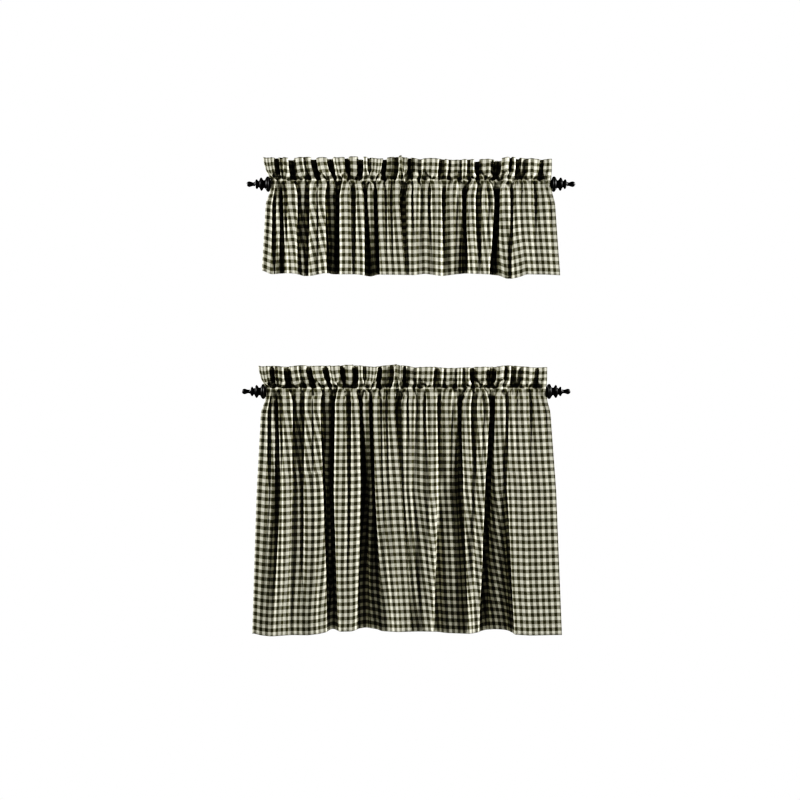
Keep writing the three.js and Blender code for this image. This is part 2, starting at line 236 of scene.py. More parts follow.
# The pocket: how far it stands off the rod, how deep folds lie over it, and how the seams gather the cloth.
POCKET_HALF = 9.4
POCKET_FOLD = 10.0
SEAM_FORWARD = 5.5
GATHER_STEP = 46.0
LEAST_GATHER = 22.0
PINCH = 4.2
PUCKER = 1.7
# How far below the upper seam the cloth has spread from the pocket to its folds. The side edges start later.
SPREAD_OVER = 62.0
OUTER_LATE = 30.0
INNER_LATE = 22.0
# The folds: the heights at which they are given, where the eye is, and how round a pleat is.
TOP_LEVEL = -73.0
MID_LEVEL = -335.0
HEM_LEVEL = -760.0
SIGHT = 3200.0
EYE_LEVEL = -29.0
CROWN = 0.62
CROWN_HALF = 24.0
VALLEY_WIDTH = 9.0
FOLD_ROUNDING = 5.5
# The mesh: lines of points down the threads, and rows that stand closer in the heading than further down.
THREAD_STEP = 2.0
CURVE_STEP = 1.2
HEADER_ROWS = 24
POCKET_ROWS = 16
UPPER_ROWS = 34
UPPER_END = 205.0
ROW_STEP = 8.6
THREADS = np.arange(0.0, CLOTH_WIDTH + THREAD_STEP / 2, THREAD_STEP)

# Each fold is a pleat from one X to another at a depth, then a valley at its own depth, all in millimetres.
# X is where it shows in the plane of the rod, seen from SIGHT away, so deeper cloth lies further out.
LEFT_FOLDS = {
    "top": np.array([
        # from, to, front, valley
        (-490, -468, 4, 24), (-455, -441, 8, 26), (-430, -420, 8, 12), (-417, -382, 0, 19),
        (-375, -352, 7, 17), (-342, -319, 0, 1), (-312, -289, 0, 15), (-287, -254, 10, 60),
        (-239, -202, 0, 12), (-186, -158, 0, 56), (-149, -124, 4, 40), (-112, -88, 2, 9),
        (-81, -71, 3, 8), (-62, -38, 1, 1)], float),
    "mid": np.array([
        (-504, -466, 5, 11), (-456, -442, 7, 24), (-426, -420, 9, 10), (-418, -385, 0, 13),
        (-380, -354, 10, 20), (-346, -322, 4, 3), (-310, -279, 0, 50), (-272, -258, 12, 66),
        (-245, -200, 0, 7), (-184, -153, 0, 68), (-128, -116, 11, 44), (-104, -84, 2, 6),
        (-76, -62, 3, 5), (-54, -15, 0, 0)], float),
    "hem": np.array([
        (-516, -486, 22, 25), (-476, -452, 24, 24), (-440, -426, 17, 16), (-418, -395, 7, 15),
        (-390, -352, 13, 15), (-343, -314, 14, 12), (-300, -264, 1, 70), (-256, -242, 66, 70),
        (-232, -206, 0, 3), (-198, -163, 0, 66), (-126, -98, 34, 30), (-84, -64, 26, 22),
        (-53, -38, 13, 9), (-26, 14, 0, 0)], float),
}
# Each ruffle valley of the header leans from its X at the upper seam to its X at the top edge.
LEFT_RUFFLES = np.array([
    # at the seam, at the top, width at the top, depth
    (-449, -451, 11, 16), (-431, -437, 6, 8), (-405, -404, 19, 24), (-350, -361, 5, 7),
    (-295, -328, 18, 24), (-251, -273, 16, 21), (-208, -216, 14, 20), (-172, -169, 18, 30),
    (-144, -143, 8, 9), (-107, -87, 13, 23), (-52, -47, 16, 12)], float)
LEFT_CRESTS = np.array([
    # X, height of the top edge
    (-504, 87), (-395, 83), (-361, 88), (-225, 87), (-181, 92), (-137, 83), (-106, 82), (-35, 92)], float)
# Each crease is a shallow trough in a pleat that starts below the upper seam and runs out further down.
LEFT_CREASES = (
    # X where it starts, X where it ends, start, end, depth, width
    (-174, -172, 60, 420, 4, 6), (-318, -306, 10, 560, 5, 8),
    (-482, -490, 20, 480, 4, 7), (-402, -404, 0, 300, 4, 8), (-100, -92, 30, 420, 3, 6))
# The hem line as it shows: flat under the pleats, arched over the valleys, where the cloth lies further back.
TIER_HEM = np.array([
    # X, Z
    (-517, -822), (-494, -828), (-460, -832), (-388, -827), (-334, -828), (-300, -824), (-273, -818),
    (-249, -804), (-225, -816), (-184, -815), (-160, -805), (-137, -801), (-99, -807), (-82, -814),
    (-28, -817), (40, -815), (108, -816), (135, -820), (213, -823), (237, -820), (268, -809), (302, -807),
    (336, -809), (353, -814), (370, -826), (421, -829), (523, -827)], float)
LEFT_SIDES = {"pocket": (-475, -36.2), "header": (-498, -31)}
# How far the inner edge is tucked back behind the other panel's, and the seed of its small unevenness.
LEFT_TUCK, LEFT_SEED = 0.0, 3


def eased(t):
    t = np.clip(t, 0.0, 1.0)
    return t * t * (3.0 - 2.0 * t)


def smoothed(values, reach):
    """Triangle smoothing along the cloth that keeps both ends where they are."""
    reach = int(max(1, min(reach, len(values) - 2)))
    before = 2 * values[0] - values[reach:0:-1]
    after = 2 * values[-1] - values[-2:-reach - 2:-1]
    kernel = reach + 1.0 - np.abs(np.arange(-reach, reach + 1))
    return np.convolve(np.concatenate([before, values, after]), kernel / kernel.sum(), "valid")


def folds_at(tables, z):
    if z >= MID_LEVEL:
        t = max(0.0, (TOP_LEVEL - z) / (TOP_LEVEL - MID_LEVEL))
        return tables["top"] + (tables["mid"] - tables["top"]) * t
    t = (MID_LEVEL - z) / (MID_LEVEL - HEM_LEVEL)
    return tables["mid"] + (tables["hem"] - tables["mid"]) * t


def folded_curve(folds, scale, reach, splay):
    """A folded section with crowned pleats, round corners and splayed walls, as X and Y of close points."""
    xs, ys = [], []
    bow = np.array([-1.0, -0.8, -0.45, 0.0, 0.45, 0.8, 1.0])
    for k, (start, end, front, valley) in enumerate(folds):
        half = (end - start) / 2
        last = k + 1 == len(folds)
        before = folds[k - 1][3] if k else front
        beside = np.where(bow < 0, before, valley)
        crown = np.minimum(CROWN * min(half, CROWN_HALF), 0.6 * np.maximum(0.0, beside - front))
        free_side = ((bow < 0) & (k == 0)) | ((bow > 0) & last)
        narrowed = np.where(free_side, half, half - min(splay, 0.7 * half))
        xs += list((start + end) / 2 + narrowed * bow)
        ys += list(front + crown * (1 - np.sqrt(1 - 0.96 * bow ** 2)))
        if not last:
            gap = folds[k + 1][0] - end
            under = max(0.0, (VALLEY_WIDTH - gap) / 2) - min(splay, 0.35 * gap)
            xs += [end - under, end + gap + under]
            ys += [valley, valley]
    ys = np.array(ys) * scale
    xs = np.array(xs) * (1 + ys / SIGHT)
    run = np.concatenate([[0.0], np.cumsum(np.hypot(np.diff(xs), np.diff(ys)))])
    steps = np.linspace(0.0, run[-1], int(run[-1] / CURVE_STEP))
    reach = reach / CURVE_STEP
    return smoothed(np.interp(steps, run, xs), reach), smoothed(np.interp(steps, run, ys), reach)


def folded_section(folds, reach, splay=0.0, deepest=1.12):
    """X, Y and tangent angle of every thread of a folded section, and the share of the width it takes."""
    low, high = 0.3, deepest
    for _ in range(14):
        scale = (low + high) / 2
        x, y = folded_curve(folds, scale, reach, splay)
        if np.hypot(np.diff(x), np.diff(y)).sum() > CLOTH_WIDTH:
            high = scale
        else:
            low = scale
    run = np.concatenate([[0.0], np.cumsum(np.hypot(np.diff(x), np.diff(y)))])
    taken = run[-1] / CLOTH_WIDTH
    x, y = np.interp(THREADS * taken, run, x), np.interp(THREADS * taken, run, y)
    y -= y.mean()
    return x, y, np.arctan2(np.gradient(y), np.gradient(x)), taken


def gathered(turns, closeness, pinch):
    """Tangent angle of a row of gathers, flat in front and pinched behind, at a share of its width."""
    swings = np.linspace(0.0, 2.0, 101)
    once = np.linspace(0.0, 2 * np.pi, 181)[:-1]
    wave = np.sin(once) - pinch * np.sin(2 * once)
    shares = np.minimum.accumulate(np.cos(swings[:, None] * wave[None, :]).mean(axis=1))
    return np.interp(-closeness, -shares, swings) * (np.sin(turns) - pinch * np.sin(2 * turns))


def uneven(rng, down, reach_across, reach_down, count=9):
    """Slow random waves over the cloth, across its threads and down its length, of about unit height."""
    total = np.zeros((len(down), len(THREADS)))
    for _ in range(count):
        across = 2 * np.pi / (reach_across * rng.uniform(0.7, 2.2))
        along = 2 * np.pi / (reach_down * rng.uniform(0.7, 2.2)) * rng.choice((-1, 1))
        total += np.sin(across * THREADS[None, :] + along * down[:, None] + rng.uniform(0, 2 * np.pi))
    return total / math.sqrt(count / 2)


def laid(angle, taken, x_goal, y_goal, reach):
    """The cloth laid out along its tangent angle, and drawn to where its broad shape is to be."""
    step = THREAD_STEP * np.broadcast_to(taken, angle.shape)[1:]
    x = np.concatenate([[0.0], np.cumsum(step * np.cos((angle[1:] + angle[:-1]) / 2))])
    y = np.concatenate([[0.0], np.cumsum(step * np.sin((angle[1:] + angle[:-1]) / 2))])
    x += smoothed(x_goal - x, reach / THREAD_STEP)
    y += smoothed(y_goal - y, reach / THREAD_STEP)
    return x, y


# The ruffled top edge: how far forward ruffles stand by turns, how round and deep they may be, and how far
# they follow the folds below, with the threads evened out and kept off the pocket's sides.
RUFFLE_FRONT = 2.5
RUFFLE_TURN = 2.1
RUFFLE_ROUNDING = 5.0
RUFFLE_DEEPEST = 1.6
RUFFLE_FOLLOW = 0.75
EVENED = 20
POCKET_EVENED = 30
LEFT_ROOM = 14.0
RIGHT_ROOM = 10.0


def ruffled_edge(ruffles, sides):
    """X, Y and tangent angle of each thread along the ruffled edge, and the share of the width it takes."""
    left, right = sides["header"]
    starts = np.concatenate([[left], ruffles[:, 1] + ruffles[:, 2] / 2])
    ends = np.concatenate([ruffles[:, 1] - ruffles[:, 2] / 2, [right]])
    fronts = RUFFLE_FRONT + RUFFLE_FRONT * np.sin(RUFFLE_TURN * np.arange(len(starts)))
    folds = np.stack([starts, ends, fronts, np.append(ruffles[:, 3], 0.0)], axis=1)
    return folded_section(folds, RUFFLE_ROUNDING, deepest=RUFFLE_DEEPEST)


# The gathers of the seams: how far one strays, how wide the flat edge is, how closely the cloth is drawn,
# how far each gather runs down and is pulled to a valley, and the small puckers that the stitching draws up.
GATHER_STRAY = 4.0
GATHER_EDGE = 40.0
GATHER_CLOSENESS = (0.25, 0.97)
GATHER_EVENED = 10
GATHER_STRENGTH = (0.8, 1.15)
GATHER_REACH = (28.0, 95.0)
GATHER_LONG = 2.2
GATHER_PULL = 0.6
GATHER_MOST_PULL = 22.0
GATHER_BACK = 0.33
PUCKER_COUNT = 48
PUCKER_STEP = (17.0, 32.0)
PUCKER_SHARPNESS = 2.2
PUCKER_STRENGTH = (0.3, 1.3)


class Heading:
    """How a heading draws up its cloth: where the threads lie in it, and the gathers along its two seams."""

    def __init__(self, tables, ruffles, sides, rng):
        self.line_up(tables, ruffles, sides)
        self.draw_gathers(rng)
        self.draw_puckers(rng)

    def line_up(self, tables, ruffles, sides):
        """Threads stand over each other above and below the pocket, so the ruffles follow the folds."""
        edge_x, edge_y, edge_angle, edge_taken = ruffled_edge(ruffles, sides)
        top_x = folded_section(tables["top"], FOLD_ROUNDING)[0]
        left, right = sides["pocket"]
        inside = (left + LEFT_ROOM, right - RIGHT_ROOM)
        spread = smoothed(top_x, EVENED)
        spread = np.interp(spread, (spread[0], *inside, spread[-1]), (left, *inside, right))
        ruffled = smoothed(edge_x, EVENED)
        ruffled = np.maximum.accumulate(np.interp(ruffled, (ruffled[0], ruffled[-1]), (left, right)))
        over = THREADS + RUFFLE_FOLLOW * (smoothed(np.interp(spread, ruffled, THREADS), EVENED) - THREADS)
        self.edge_x = np.interp(over, THREADS, edge_x)
        self.edge_y = np.interp(over, THREADS, edge_y)
        self.edge_angle = np.interp(over, THREADS, edge_angle)
        self.edge_taken = edge_taken * np.gradient(over, THREAD_STEP)
        self.ruffle_valleys = np.interp(ruffles[:, 1], np.maximum.accumulate(self.edge_x), THREADS)
        drawn_in = np.interp(
            THREADS, np.concatenate([[0.0], self.ruffle_valleys, [CLOTH_WIDTH]]),
            np.concatenate([[left], ruffles[:, 0], [right]]))
        self.pocket_x = smoothed(0.5 * drawn_in + 0.5 * spread, POCKET_EVENED)
        between_folds = (tables["top"][:-1, 1] + tables["top"][1:, 0]) / 2
        self.fold_valleys = np.interp(between_folds, np.maximum.accumulate(top_x), THREADS)

    def draw_gathers(self, rng):
        """Fine gathers along both seams, which meet the ruffle valleys above and the fold valleys below."""
        marks = [0.0]
        for valley in np.sort(np.concatenate([self.ruffle_valleys, self.fold_valleys, [CLOTH_WIDTH]])):
            if valley - marks[-1] < LEAST_GATHER and valley < CLOTH_WIDTH:
                continue
            between = max(1, round((valley - marks[-1]) / GATHER_STEP))
            marks += list(marks[-1] + (valley - marks[-1]) * (np.arange(1, between + 1) / between))
        count = len(marks)
        self.marks = np.array(marks)
        self.marks[1:-1] += rng.uniform(-GATHER_STRAY, GATHER_STRAY, count - 2)
        self.phases = np.pi + 2 * np.pi * np.arange(-1, count - 1)
        self.phases[0], self.phases[-1] = 0.0, self.phases[-2] + np.pi
        from_edge = np.minimum(THREADS, CLOTH_WIDTH - THREADS)
        swings = np.sin(np.interp(THREADS, self.marks, self.phases))
        self.pinched = swings * np.minimum(1.0, from_edge / GATHER_EDGE)
        drawn = smoothed(np.gradient(self.pocket_x, THREAD_STEP), GATHER_EVENED)
        self.closeness = np.clip(drawn, *GATHER_CLOSENESS)
        self.strength = np.interp(THREADS, self.marks, rng.uniform(*GATHER_STRENGTH, count))
        reaches = rng.uniform(*GATHER_REACH, count) * rng.choice((1.0, 1.0, GATHER_LONG), count)
        self.reach_down = np.interp(THREADS, self.marks, reaches)

    def draw_puckers(self, rng):
        """Small puckers that the stitching draws up along the seams."""
        marks = np.cumsum(rng.uniform(*PUCKER_STEP, PUCKER_COUNT))
        swings = np.sin(np.interp(THREADS, marks, 2 * np.pi * np.arange(PUCKER_COUNT)))
        self.puckers = np.tanh(PUCKER_SHARPNESS * swings)
        self.puckers *= np.interp(THREADS, marks, rng.uniform(*PUCKER_STRENGTH, PUCKER_COUNT))

    def gather_to(self, valleys, along):
        """The gathers' tangent angle where they have run some way towards the nearest valleys."""
        nearest = valleys[np.argmin(np.abs(self.marks[:, None] - valleys[None, :]), axis=1)]
        pull = np.clip(GATHER_PULL * (nearest - self.marks), -GATHER_MOST_PULL, GATHER_MOST_PULL) * along
        pull[0] = pull[-1] = 0.0
        turns = np.interp(THREADS, self.marks + pull, self.phases)
        return gathered(turns, self.closeness, GATHER_BACK) * self.strength


def sideways(rows):
    """How far each thread moves sideways from one row to the next."""
    return np.hypot(*np.diff(rows, axis=0).transpose(1, 0, 2))


def upright(steps, moved, least):
    """How far each row has come up or down, where a step along the cloth goes partly sideways."""
    gained = np.sqrt(np.maximum(steps ** 2 - moved ** 2, (least * steps) ** 2))
    return np.concatenate([np.zeros((1, len(THREADS))), np.cumsum(gained, axis=0)])


# The header: how far up the stitching pulls, by which shares of its height ruffles take over and gathers meet
# their valleys, and how it leans forward, sways and is tucked in beside the split.
HEADER_TIGHT = 13.0
HEADER_RUFFLED = 0.45
HEADER_MET = 0.4
HEADER_LEAN = -2.0
HEADER_SWAY = 3.0
HEADER_SWAY_STEP = 71.0
HEADER_TUCK = 60.0
HEADER_WAVER = (34.0, 120.0)
HEADER_DRAWN = 60.0
HEADER_UP = np.linspace(0.0, 1.0, HEADER_ROWS + 1)


def hang_header(heading, crests, tuck, seed, rng):
    """X and Y of the header's rows, from the upper seam up to the ruffled edge, and their heights."""
    waver = uneven(rng, HEADER_UP * HEADER_HEIGHT, *HEADER_WAVER)
    rows = []
    for k, up in enumerate(HEADER_UP):
        # share is how far the ruffles have taken over from the gathers, and tight is the stitching's pull
        share = (0.3 + 0.7 * eased(up / HEADER_RUFFLED)) ** 2
        tight = math.exp(-up * HEADER_HEIGHT / HEADER_TIGHT)
        gather = heading.gather_to(heading.ruffle_valleys, eased(up / HEADER_MET)) * (1 - 0.3 * tight)
        angle = (math.sqrt(1 - share) * gather + math.sqrt(share) * heading.edge_angle
                 + 0.12 * up * waver[k] + PUCKER * tight * heading.puckers)
        lean = (HEADER_LEAN * (1 - math.exp(-7 * up))
                + HEADER_SWAY * up * np.sin(THREADS / HEADER_SWAY_STEP + seed)
                + tuck * up * eased(1 - THREADS / HEADER_TUCK))
        y_goal = math.sqrt(share) * heading.edge_y + lean - SEAM_FORWARD
        x_goal = heading.pocket_x + (heading.edge_x - heading.pocket_x) * (1 - (1 - up) ** 1.6)
        x, y = laid(angle, 1 + share * (heading.edge_taken - 1), x_goal, y_goal, HEADER_DRAWN)
        rows.append((x + PINCH * tight * heading.pinched, y))
    rows = np.array(rows)
    rise = upright(HEADER_HEIGHT / HEADER_ROWS, sideways(rows), 0.6)
    crest = np.interp(rows[-1, 0], crests[:, 0], crests[:, 1])
    return rows, UPPER_SEAM + rise * (0.3 + 0.7 * (crest - UPPER_SEAM) / rise[-1])


# The front, in distances below the upper seam: how far the stitching pulls and pinches, where folds have
# taken over and gathers have met their valleys, how far the cloth falls back, and how
# pleats get rounder and splay near the hem.
SEAM_GAP = UPPER_SEAM - LOWER_SEAM
POCKET_DOWN = np.linspace(0.0, SEAM_GAP, POCKET_ROWS)
FRONT_TIGHT = 15.0
FRONT_PINCHED = 24.0
FRONT_FOLDED = 38.0
FRONT_MET = 70.0
FALL_BACK = 2.5
FALL_BACK_BY = 140.0
FRONT_WAVER = (60.0, 420.0)
FRONT_CRIMP = (17.0, 90.0)
FRONT_CRIMPED = 110.0
FRONT_DRAWN = 50.0
SEAM_BLEND = 14.0
MORE_ROUNDING = 3.5
ROUNDER_BY = 600.0
HEM_REACH = 220.0
HEM_SPLAY = 3.0
HEM_EVENED = 6
STRETCH_OVER = 150.0
# How wide the parts of the cloth are that spread late: the outer edge, and the inner one beside the split.
OUTER_WIDTH = 80.0
INNER_WIDTH = 110.0
# A crease deepens over the first fifth of its run, and fades away over the last five eighths.
CREASE_ONSET = 5
CREASE_FADE = 1.6


def rows_down(drop):
    """How far below the upper seam each row of the front lies."""
    hem_down = drop + UPPER_SEAM
    upper_down = np.linspace(SEAM_GAP, UPPER_END, UPPER_ROWS)[1:]
    lower_down = np.linspace(UPPER_END, hem_down, int((hem_down - UPPER_END) / ROW_STEP))[1:]
    return np.concatenate([POCKET_DOWN, upper_down, lower_down])


def press_creases(angle, creases, down, x_fold):
    """Turns the tangent angle along each shallow crease that runs past this far down."""
    for start_x, end_x, start_down, end_down, depth, width in creases:
        along = (down - start_down) / (end_down - start_down)
        if 0.0 < along < 1.0:
            at = np.interp(start_x + (end_x - start_x) * along, np.maximum.accumulate(x_fold), THREADS)
            off = (THREADS - at) / width
            shown = min(1.0, CREASE_ONSET * along, CREASE_FADE * (1 - along))
            angle -= 2 * depth / width * shown * off * np.exp(-off ** 2)


def hang_front(heading, tables, creases, front_down, hem, eye, tuck, seam_row, rng):
    """X and Y of the front's rows, from the upper seam down to the hem, and their heights."""
    waver = uneven(rng, front_down, *FRONT_WAVER)
    crimp = uneven(rng, front_down, *FRONT_CRIMP)
    from_outer = CLOTH_WIDTH - THREADS if tuck else THREADS
    late = OUTER_LATE * eased(1 - from_outer / OUTER_WIDTH)
    if tuck:
        late += INNER_LATE * eased(1 - THREADS / INNER_WIDTH)
    rows = []
    for k, down in enumerate(front_down):
        # share is how far the folds have taken over from the gathers, and tight is the stitching's pull
        near_hem = eased(1 - (front_down[-1] - down) / HEM_REACH)
        rounding = FOLD_ROUNDING + MORE_ROUNDING * min(1.0, down / ROUNDER_BY) + MORE_ROUNDING * near_hem ** 3
        x_fold, y_fold, angle_fold, taken = folded_section(
            folds_at(tables, UPPER_SEAM - down), rounding, HEM_SPLAY * near_hem)
        share = 0.1 + 0.9 * eased((down + 3.0) / FRONT_FOLDED)
        tight = math.exp(-down / FRONT_TIGHT)
        gather = heading.gather_to(heading.fold_valleys, eased(down / FRONT_MET))
        gather = gather * np.exp(-down / heading.reach_down) * (1 - 0.3 * tight)
        angle = (math.sqrt(share) * angle_fold + math.sqrt(1 - 0.9 * share) * gather
                 + PUCKER * tight * heading.puckers + 0.07 * waver[k]
                 + 0.05 * math.exp(-down / FRONT_CRIMPED) * crimp[k])
        press_creases(angle, creases, down, x_fold)
        drawn = eased((down - late) / SPREAD_OVER)
        x_goal = heading.pocket_x + (x_fold - heading.pocket_x) * drawn
        y_goal = math.sqrt(share) * y_fold - SEAM_FORWARD + FALL_BACK * eased(down / FALL_BACK_BY)
        x, y = laid(angle, taken, x_goal, y_goal, FRONT_DRAWN)
        rows.append((x + PINCH * math.exp(-down / FRONT_PINCHED) * heading.pinched, y))
    leaving = 1 - eased(front_down / SEAM_BLEND)[:, None, None]
    rows = np.array(rows) * (1 - leaving) + seam_row * leaving
    moved = sideways(rows)
    moved[:POCKET_ROWS - 1] = 0.0
    fall = upright(np.diff(front_down)[:, None], moved, 0.8)
    further = 1 + rows[-1, 1] / SIGHT
    hem_shown = smoothed(np.interp(rows[-1, 0] / further, hem[:, 0], hem[:, 1]), HEM_EVENED)
    hem_z = eye + (hem_shown - eye) * further
    fall *= 1 + ((UPPER_SEAM - hem_z) / fall[-1] - 1) * np.clip((fall - SEAM_GAP) / STRETCH_OVER, 0.0, 1.0)
    return rows, UPPER_SEAM - fall


# The pocket round the rod: it opens at once below the upper seam, and closes slowly to the lower one.
# The rod presses the cloth out down to ROD_LEFT, and less and less below that.
OPENING_POWER = 0.28
CLOSING_POWER = 1.2
ROD_LEFT = -9.0
ROD_LEFT_OVER = 17.0


def pocket_section():
    """Heights of the pocket's rows, how far they swell, the rod's press on them, and the length of cloth."""
    z = UPPER_SEAM - POCKET_DOWN
    above = np.maximum(0.0, 1 - (np.maximum(z, 0) / UPPER_SEAM) ** 2) ** OPENING_POWER
    below = np.cos(np.pi / 2 * np.minimum(z, 0) / LOWER_SEAM) ** CLOSING_POWER
    swelled = POCKET_HALF * (above * below)
    press = above * (1 - eased((ROD_LEFT - z) / ROD_LEFT_OVER))
    length = np.concatenate([[0.0], np.cumsum(np.hypot(np.diff(z), np.diff(swelled)))])
    return z, swelled, press, length


POCKET_Z, POCKET_SWELLED, ROD_PRESS, POCKET_LENGTH = pocket_section()


def pressed_by_rod(y, k, side):
    """Row k of the pocket, pressed out of the rod's way behind it (side 1) or in front of it (side -1)."""
    depth = side * (np.percentile(y, 97 if side > 0 else 3) - y)
    off_axis = POCKET_SWELLED[k] + POCKET_FOLD * np.exp(-np.maximum(depth, 0.0) / POCKET_FOLD)
    return y + (side * off_axis - y) * ROD_PRESS[k]


def hang_panel(tables, ruffles, crests, creases, sides, drop, hem, eye, tuck, seed):
    """Rows of the hung sheet in millimetres, the length along it at each row, and which rows are stitched."""
    rng = np.random.default_rng(seed)
    heading = Heading(tables, ruffles, sides, rng)
    header, header_z = hang_header(heading, crests, tuck, seed, rng)
    front_down = rows_down(drop)
    front, front_z = hang_front(heading, tables, creases, front_down, hem, eye, tuck, header[0], rng)
    rows, lengths = [], []

    def row(x, y, z, length):
        rows.append(np.stack([x, y, np.broadcast_to(z, x.shape)]))
        lengths.append(length)

    def layer_gap(k):
        """Half the room between the header's two layers, which close at the top edge."""
        return LAYER_GAP * min(1.0, (HEADER_ROWS + 0.5 - k) / 3)

    # Up the back of the pocket and the header, from the turned-under edge
    whole_back = HEADER_HEIGHT + POCKET_LENGTH[-1]
    last = POCKET_ROWS - 1
    row(front[last + 1, 0], front[last + 1, 1] + 2 * LAYER_GAP, front_z[last + 1], -whole_back - TURN_UNDER)
    for k in range(last, -1, -1):
        x, y = front[k]
        row(x, pressed_by_rod(y, k, 1) + LAYER_GAP, POCKET_Z[k], -HEADER_HEIGHT - POCKET_LENGTH[k])
    for k in range(1, HEADER_ROWS + 1, 2):
        x, y = header[k]
        row(x, y + layer_gap(k), header_z[k], -HEADER_HEIGHT * (1 - HEADER_UP[k]))

    # Over the top edge, and down the front to the hem
    row(*header[HEADER_ROWS], header_z[HEADER_ROWS] + 0.4, 0.0)
    for k in range(HEADER_ROWS - 1, 0, -1):
        x, y = header[k]
        row(x, y - layer_gap(k), header_z[k], HEADER_HEIGHT * (1 - HEADER_UP[k]))
    stitched = {"upper": len(rows)}
    for k in range(POCKET_ROWS):
        x, y = front[k]
        row(x, pressed_by_rod(y, k, -1) - LAYER_GAP, POCKET_Z[k], HEADER_HEIGHT + POCKET_LENGTH[k])
    stitched["lower"] = len(rows) - 1
    for k in range(POCKET_ROWS, len(front_down)):
        x, y = front[k]
        below_seam = front_down[k] - SEAM_GAP
        row(x, y - LAYER_GAP * math.exp(-below_seam / FRONT_TIGHT), front_z[k], whole_back + below_seam)
    hem_row = int(np.searchsorted(front_down, front_down[-1] - BOTTOM_HEM))
    stitched["hem"] = len(rows) - len(front_down) + hem_row
    return np.array(rows), np.array(lengths), stitched


def out_of_cloth(rows):
    """Unit normals of the sheet, out of its right side, for every thread and row."""
    across = np.gradient(rows, axis=2)
    down = np.gradient(rows, axis=0)
    normal = np.cross(down.transpose(0, 2, 1), across.transpose(0, 2, 1))
    normal /= np.maximum(np.linalg.norm(normal, axis=2, keepdims=True), 1e-9)
    return normal.transpose(0, 2, 1)


def hem_panel(rows, lengths):
    """Adds the bottom hem and both side hems, turned to the back of the sheet."""
    normal = out_of_cloth(rows)
    turned = np.searchsorted(lengths, lengths[-1] - BOTTOM_HEM)
    back = [rows[-1] - normal[-1] * LAYER_GAP * 0.5 - np.array([[0.0], [0.0], [0.3]])]
    more = [lengths[-1] + 0.6]
    for k in range(len(rows) - 2, turned - 1, -1):
        back.append(rows[k] - normal[k] * LAYER_GAP)
        more.append(2 * lengths[-1] - lengths[k])
    rows = np.concatenate([rows, np.array(back)])
    lengths = np.concatenate([lengths, more])
    threads = THREADS
    count = int(SIDE_HEM / THREAD_STEP)
    normal = out_of_cloth(rows)
    behind = np.where(np.arange(len(rows)) >= len(rows) - len(more), -1.0, 1.0)[:, None, None]
    inner = rows[:, :, 1:count + 1] - behind * normal[:, :, 1:count + 1] * LAYER_GAP
    outer = rows[:, :, -count - 1:-1] - behind * normal[:, :, -count - 1:-1] * LAYER_GAP
    rows = np.concatenate([inner[:, :, ::-1], rows, outer[:, :, ::-1]], axis=2)
    threads = np.concatenate([-threads[1:count + 1][::-1], threads, CLOTH_WIDTH + threads[1:count + 1]])
    return rows, lengths, threads


def sew_sheet(name, rows, lengths, threads, place, material):
    """Makes the sheet a mesh with its flat cut as UV, in metres."""
    count_down, _, count_across = rows.shape
    points = rows.transpose(0, 2, 1).reshape(-1, 3) / 1000 + np.array([place[0], 0.0, place[1]])
    index = np.arange(count_down * count_across).reshape(count_down, count_across)
    corners = np.stack(
        [index[:-1, :-1], index[1:, :-1], index[1:, 1:], index[:-1, 1:]], axis=-1).reshape(-1, 4)
    mesh = bpy.data.meshes.new(name)
    mesh.from_pydata(points.tolist(), [], corners.tolist())
    mesh.polygons.foreach_set("use_smooth", np.ones(len(corners), bool))
    flat = np.stack(np.broadcast_arrays(threads[None, :], lengths[:, None]), axis=-1).reshape(-1, 2) / 1000
    layer = mesh.uv_layers.new(name="flat_cut")
    layer.uv.foreach_set("vector", flat[corners.ravel()].ravel().astype(np.float32))
    mesh.update()
    sheet = bpy.data.objects.new(name, mesh)
    bpy.context.scene.collection.objects.link(sheet)
    return finish_piece(sheet, name, material)


# Gingham: stripes of cream and near-black yarn in warp and weft, so the crossings are light, mid and dark.
WARP_REPEAT = 0.0226
WEFT_REPEAT = 0.0245
YARN = 0.00085
SLUB_FINE = 1100.0
SLUB_LONG = 26.0
CREAM = (0.76, 0.745, 0.62, 1.0)
BLACK_YARN = (0.052, 0.050, 0.026, 1.0)


